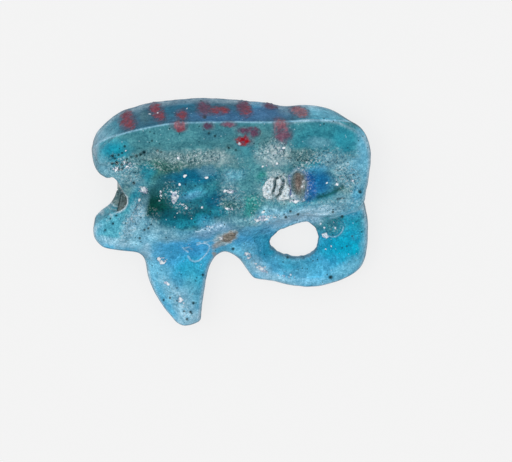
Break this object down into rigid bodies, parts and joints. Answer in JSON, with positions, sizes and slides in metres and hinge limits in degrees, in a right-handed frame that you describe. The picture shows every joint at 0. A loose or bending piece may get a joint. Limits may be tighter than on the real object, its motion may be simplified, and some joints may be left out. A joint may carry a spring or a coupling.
{
  "type": "wedjat eye amulet",
  "caption": "Flat-backed faience eye amulet with a curl and a drop below the eye, red dabs on the brow and a lengthwise string hole.",
  "frame": {"origin": "middle of the outline, on the plane that the flat back rests on", "axes": "+X along the eye from the string-hole notch to the curl's side, +Y up to the brow, +Z out of the face"},
  "size_m": [0.022, 0.0187, 0.0048],
  "materials": {
    "core": "fired quartz body, brown and slightly granular",
    "glaze": "glossy turquoise to green glaze with bubbles and pores",
    "red_dab": "matt red glaze with mottled edges",
    "crust": "rough white weathered crust"
  },
  "bodies": {
    "root": {"core": "core", "glaze": "glaze", "brow_spot_01": "red_dab", "brow_spot_02": "red_dab", "brow_spot_03": "red_dab", "brow_spot_04": "red_dab", "brow_spot_05": "red_dab", "brow_spot_06": "red_dab", "brow_spot_07": "red_dab", "brow_spot_08": "red_dab", "brow_spot_09": "red_dab", "brow_spot_10": "red_dab", "brow_spot_11": "red_dab", "brow_spot_12": "red_dab", "brow_spot_13": "red_dab", "crust_left": "crust", "crust_middle": "crust", "crust_right": "crust"}
  },
  "joints": []
}
